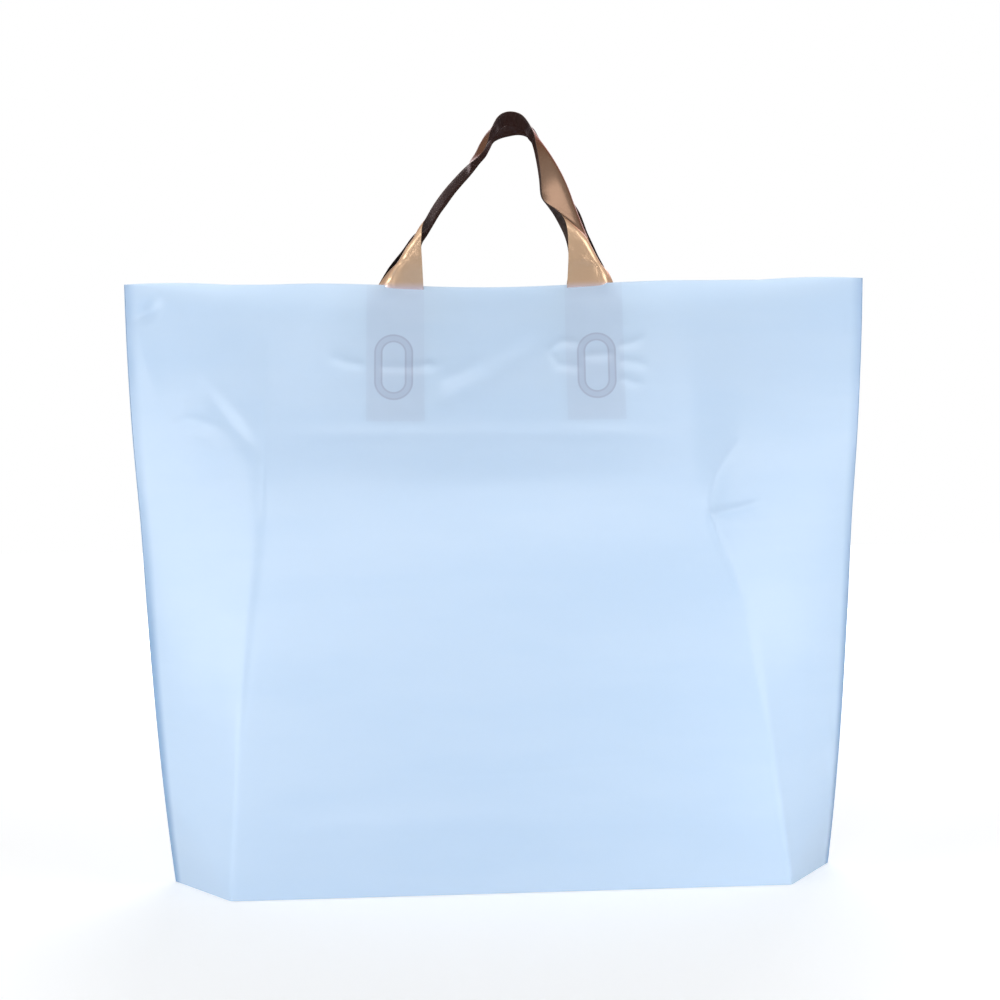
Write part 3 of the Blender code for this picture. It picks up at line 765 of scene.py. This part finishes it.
# %% Stations of the back handle
back_stations = (
    (-49.4, 404.8, 180, 18.5, 2, 78),
    (-49.6, 410.8, 180, 15.0, 3, 82),
    (-50.2, 419.7, 178, 8.0, 6, 86),
    (-49.9, 429.0, 166, 3.5, 30, 89),
    (-45.7, 436.1, 151, 5.0, 72, 92),
    (-41.7, 442.7, 148, 10.0, 80, 94),
    (-37.0, 450.3, 146, 14.0, 80, 96),
    (-32.4, 456.5, 144, 16.0, 80, 96),
    (-26.6, 464.4, 140, 16.0, 80, 96),
    (-21.0, 470.9, 138, 16.0, 80, 96),
    (-15.0, 477.6, 138, 16.0, 80, 96),
    (-9.0, 485.1, 142, 16.0, 80, 96),
    (-4.8, 489.9, 148, 16.0, 82, 94),
    (-1.9, 495.1, 148, 16.0, 84, 94),
    (0.8, 499.8, 132, 16.0, 86, 92),
    (5.4, 502.4, 112, 17.0, 88, 92),
    (11.0, 503.9, 102, 17.0, 88, 92),
    (17.6, 504.9, 88, 17.0, 88, 92),
    (22.8, 504.0, 64, 17.0, 86, 94),
    (26.4, 501.2, 40, 16.0, 80, 95),
    (28.7, 495.0, 26, 15.0, 74, 95),
    (30.9, 483.7, 20, 16.0, 66, 94),
    (32.3, 473.2, 16, 17.0, 60, 92),
    (33.4, 461.5, 8, 18.0, 52, 90),
    (37.9, 454.6, 4, 16.0, 46, 88),
    (41.5, 449.3, 4, 14.5, 40, 86),
    (45.0, 442.9, 6, 13.0, 32, 86),
    (48.4, 435.8, 6, 11.0, 24, 86),
    (50.4, 429.6, 6, 10.5, 12, 87),
    (51.6, 422.6, 4, 12.0, 8, 86),
    (51.7, 414.4, 2, 15.0, 5, 84),
    (51.4, 408.6, 0, 17.5, 3, 80),
)
print(len(front_stations), "front stations,", len(back_stations), "back stations")


# %% From stations to a strip
across_steps, fold_softness, rows_between = 32, 8.0, 4
front_limit = -(handle_to_handle + strap_thickness) / 2


def section(x, z, outward, facing, near, far):
    """Points across the strip, from its front edge to its back edge."""
    turn = math.radians(outward)
    way = np.array([math.cos(turn), 0.0, math.sin(turn)])
    fine = np.linspace(0, strap_width, across_steps * 2 + 1)
    folded = smooth_step(facing - fold_softness, facing + fold_softness, fine)
    tilt = np.radians(near + (far - near) * folded)
    out, back = (running_sum(way_of(tilt), fine[1], 0) for way_of in (np.cos, np.sin))
    points = np.array([x, 0.0, z]) + out[:, None] * way + back[:, None] * np.array([0.0, 1.0, 0.0])
    points[:, 1] += front_limit - points[:, 1].max()
    return points[::2]


def between(values, extra):
    """A smooth curve through the rows, with this many rows added in each gap."""
    values = np.asarray(values, float)
    padded = np.concatenate([2 * values[:1] - values[1:2], values, 2 * values[-1:] - values[-2:-1]])
    made = []
    for i in range(len(values) - 1):
        a, b, c, d = padded[i:i + 4]
        for step in range(extra + 1):
            t = step / (extra + 1)
            made.append(0.5 * (2 * b + (c - a) * t + (2 * a - 5 * b + 4 * c - d) * t ** 2
                               + (3 * b - a - 3 * c + d) * t ** 3))
    made.append(values[-1])
    made = np.array(made)
    made[..., 1] = np.minimum(made[..., 1], front_limit)
    return made


strap_to_film = film_thickness / 2 + handle_gap + weld_rise + strap_thickness / 2
strip_across = np.linspace(0, strap_width, across_steps + 1)
to_front = {-1: np.ones(3), 1: np.array([1.0, -1.0, 1.0])}
tab_shift, shift_from = {-1: -0.3, 1: 1.6}, 370


def tab_row(side, up, face):
    """A row of the tab, lying just inside its panel. The back handle is made as if in front."""
    across = side * (strap_inner + strip_across)
    lean = np.array([tab_shift[side] * smooth_step(shift_from, panel_height, up), 0.0, 0.0])
    return panel_point(across, float(up), face, strap_to_film) * to_front[face] + lean


def curling_row(side, up, facing, far, face):
    """A row of the tab whose outer part, past the width that faces forward, turns inwards."""
    flat_row = tab_row(side, up, face)
    past = np.clip(strip_across - facing, 0, None)
    still_flat = np.minimum(strip_across, facing)
    turn = math.radians(far)
    start = np.stack([np.interp(still_flat, strip_across, flat_row[:, i]) for i in range(3)], -1)
    return np.stack([start[:, 0] + side * past * math.cos(turn),
                     np.minimum(start[:, 1] + past * math.sin(turn), front_limit), start[:, 2]], -1)


tab_heights = range(306, 387, 5)
curls = ((391, 33.0, 30), (397, 27.0, 54))


def strip_rows(stations, face):
    """All rows of a strip: up one tab, over the top and down the other tab."""
    sides = {}
    for side in (-1, 1):
        sides[side] = [tab_row(side, up, face) for up in tab_heights]
        sides[side] += [curling_row(side, *curl, face) for curl in curls]
    free = [section(*station) for station in stations]
    upper = between(sides[-1][-2:] + free + sides[1][:-3:-1], rows_between)
    return np.concatenate([sides[-1][:-2], upper, sides[1][-3::-1]]) * to_front[face]


# %% Small marks pressed into the strips
dimples = ((-52.9, 427.3), (-59.8, 411.1), (-49.5, 412.9),
           (54.2, 428.9), (62.5, 422.7), (58.7, 411.1), (50.2, 417.5))
dimple_height, dimple_radius = 0.9, 1.3


def dimpled(points, face):
    """Each mark is a soft raised spot, about 3 mm across."""
    lift = np.zeros(points.shape[:2])
    for x, z in dimples:
        far = np.hypot(points[..., 0] - x, points[..., 2] - z)
        lift = np.maximum(lift, dimple_height * np.exp(-(far / dimple_radius) ** 2))
    points[..., 1] += face * lift
    return points


# %% Both handles
uv_width, strip_sharp_angle = 100.0, 35
for name, node_name, face, stations in (("front_handle_strip", "front_handle", -1, front_stations),
                                        ("back_handle_strip", "back_handle", 1, back_stations)):
    points = dimpled(strip_rows(stations, face), face)
    along = np.linspace(0, 1, len(points))[:, None]
    strip_uv = np.stack(np.broadcast_arrays(strip_across[None, :] / uv_width, along), -1)
    strip_mesh = sewn(name, [sheet_of(name, points, strip_uv)])
    if strip_mesh.polygons[0].normal.y * face < 0:
        strip_mesh.flip_normals()
    strip = piece(name, strip_mesh, lit_brown_outside)
    strip_mesh.materials.append(shaded_brown_inside)
    thick = strip.modifiers.new("strip_thickness", "SOLIDIFY")
    thick.thickness = strap_thickness * metre_per_mm
    thick.offset = 0.0
    thick.material_offset = 1
    thick.material_offset_rim = 1
    solid = bpy.data.meshes.new_from_object(strip.evaluated_get(bpy.context.evaluated_depsgraph_get()))
    strip.modifiers.remove(thick)
    strip.data = solid
    solid.set_sharp_from_angle(angle=math.radians(strip_sharp_angle))
    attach(strip, "root")
    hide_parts(node_name)
    print(name, len(points), "rows, outer tab face towards", "front" if face < 0 else "back")

# %% [markdown]
# ## Light and background
# The photograph is a plain cut-out on white. Large soft lights in front, at both sides and behind keep
# the film even, and three weak low strips lift its feet. A low world light leaves the handle's inner
# faces dark: only the camera, reflections and what is seen through see the world white. The floor glows
# for the camera alone, little under the bag, so that the shadow stays, and fully further out.

# %% Lamps
def soft_light(name, place_at, aim, size, power, reflected):
    data = bpy.data.lights.new(name, "AREA")
    data.shape = "RECTANGLE"
    data.size, data.size_y = size
    data.energy = power
    made = bpy.data.objects.new(name, data)
    made.visible_camera = False
    made.visible_glossy = reflected
    made.location = place_at
    made.rotation_euler = (Vector(aim) - Vector(place_at)).to_track_quat("-Z", "Y").to_euler()
    bpy.context.scene.collection.objects.link(made)


large_lamps = (
    # name, place, aim, size, watts
    ("front_light", (-0.4, -3.1, 1.10), (0, 0, 0.25), (2.4, 1.4), 32.5),
    ("left_light", (-2.9, -1.3, 0.75), (0, 0, 0.22), (2.0, 1.4), 32),
    ("right_light", (2.9, -1.3, 0.75), (0, 0, 0.22), (2.0, 1.4), 26),
    ("back_light", (0.3, 2.2, 1.2), (0, 0, 0.25), (1.8, 1.2), 33),
)
low_lamps = (
    ("low_front_light", (0.0, -0.50, 0.02), (0, -0.06, 0.05), (0.6, 0.05), 0.06),
    ("low_left_light", (-0.45, -0.36, 0.02), (-0.21, -0.02, 0.04), (0.4, 0.05), 0.56),
    ("low_right_light", (0.45, -0.36, 0.02), (0.21, -0.02, 0.04), (0.4, 0.05), 0.85),
)
for lamp in large_lamps:
    soft_light(*lamp, reflected=True)
for lamp in low_lamps:
    soft_light(*lamp, reflected=False)
print(len(large_lamps), "large lamps and", len(low_lamps), "low ones")

# %% The white world
world_seen, world_else = 1.0, 0.26
world = bpy.data.worlds.new("white_world")
bpy.context.scene.world = world
world.use_nodes = True
sky = world.node_tree
sky.nodes.clear()
rays = node(sky, "ShaderNodeLightPath")
direct = arithmetic(sky, "MAXIMUM", rays.outputs["Is Camera Ray"], rays.outputs["Is Glossy Ray"])
seen = arithmetic(sky, "MAXIMUM", direct, rays.outputs["Is Transmission Ray"])
strength = arithmetic(sky, "MULTIPLY_ADD", seen, world_seen - world_else, world_else)
background = node(sky, "ShaderNodeBackground")
background.inputs["Color"].default_value = (1, 1, 1, 1)
feed(sky, strength, background.inputs["Strength"])
world_out = node(sky, "ShaderNodeOutputWorld")
feed(sky, background.outputs[0], world_out.inputs["Surface"])

# %% The floor and its shadow
floor_half, floor_drop = 6.0, 0.0003
floor_grey, floor_white = (0.75, 0.75, 0.75), (0.9, 0.9, 0.9)
near_floor, far_floor, least_glow = 0.5, 1.6, 0.38
floor_mesh = bpy.data.meshes.new("floor")
ground = bmesh.new()
bmesh.ops.create_grid(ground, x_segments=1, y_segments=1, size=floor_half)
ground.to_mesh(floor_mesh)
ground.free()
floor_paint = bpy.data.materials.new("white_floor")
floor_paint.use_nodes = True
tree = floor_paint.node_tree
tree.nodes.clear()
rays = node(tree, "ShaderNodeLightPath")
matt = node(tree, "ShaderNodeBsdfDiffuse")
feed(tree, mixed(tree, rays.outputs["Is Camera Ray"], floor_grey, floor_white), matt.inputs["Color"])
glow = node(tree, "ShaderNodeEmission")
floor_place = node(tree, "ShaderNodeTexCoord")
from_middle = node(tree, "ShaderNodeVectorMath", operation="LENGTH")
feed(tree, floor_place.outputs["Object"], from_middle.inputs[0])
farness = between_levels(tree, from_middle.outputs["Value"], near_floor, far_floor)
floor_glow = arithmetic(tree, "MULTIPLY_ADD", farness, 1.0 - least_glow, least_glow)
feed(tree, arithmetic(tree, "MULTIPLY", rays.outputs["Is Camera Ray"], floor_glow), glow.inputs["Strength"])
both = node(tree, "ShaderNodeAddShader")
feed(tree, matt.outputs[0], both.inputs[0])
feed(tree, glow.outputs[0], both.inputs[1])
finish = node(tree, "ShaderNodeOutputMaterial")
feed(tree, both.outputs[0], finish.inputs["Surface"])
floor = piece("floor", floor_mesh, floor_paint)
floor.location.z = -floor_drop
bpy.context.scene.view_settings.view_transform = "Standard"
print("world", world.name, "and floor", floor.name)
